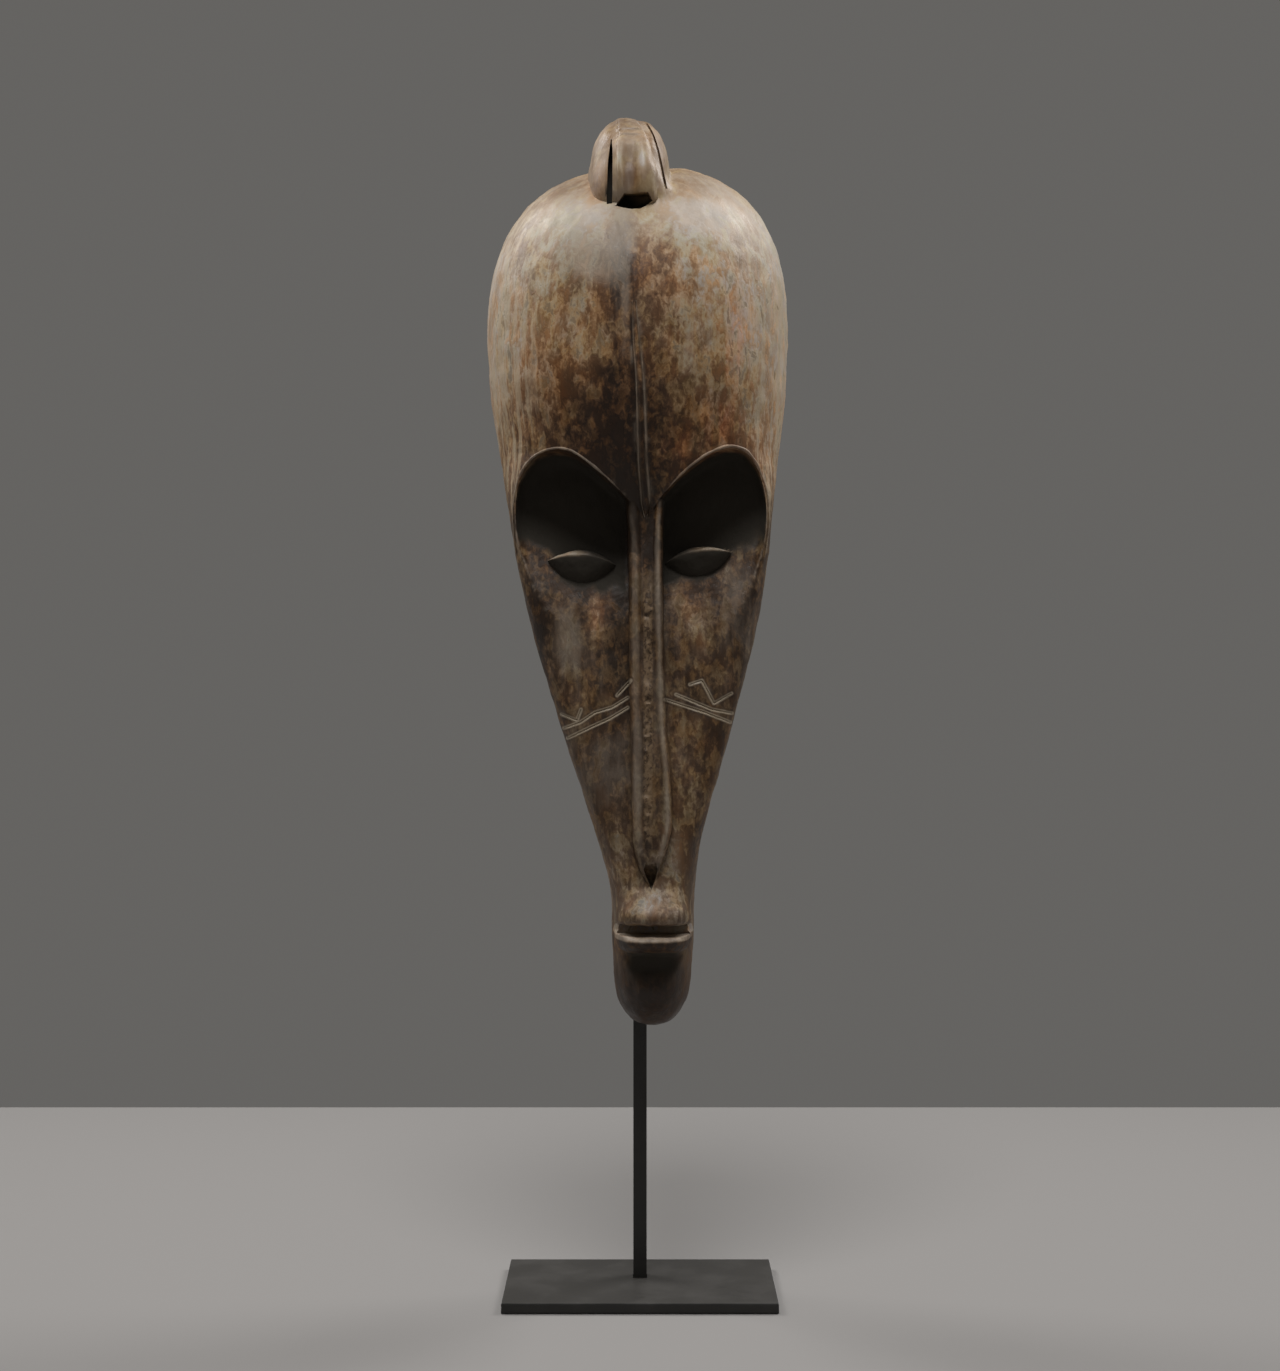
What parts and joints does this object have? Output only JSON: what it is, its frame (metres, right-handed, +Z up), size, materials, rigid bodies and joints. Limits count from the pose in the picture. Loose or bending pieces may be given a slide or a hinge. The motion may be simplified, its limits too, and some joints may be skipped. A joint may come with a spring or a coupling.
{
  "type": "carved wooden mask on stand",
  "caption": "Tall heart-faced wooden mask with a bulging forehead, long nose and small topknot, hollow at the back, on a steel bar and base plate.",
  "frame": {"origin": "centre of the base plate's underside", "axes": "+Z up, the face looks along -Y, +X to the right of a viewer facing it"},
  "size_m": [0.2306, 0.1743, 0.8709],
  "materials": {
    "carved_wood": "old light wood, brown with age, with worn remains of pale clay",
    "stand_paint": "satin black paint"
  },
  "bodies": {
    "root": {"mask": "carved_wood", "upright": "stand_paint", "base_plate": "stand_paint"}
  },
  "joints": []
}
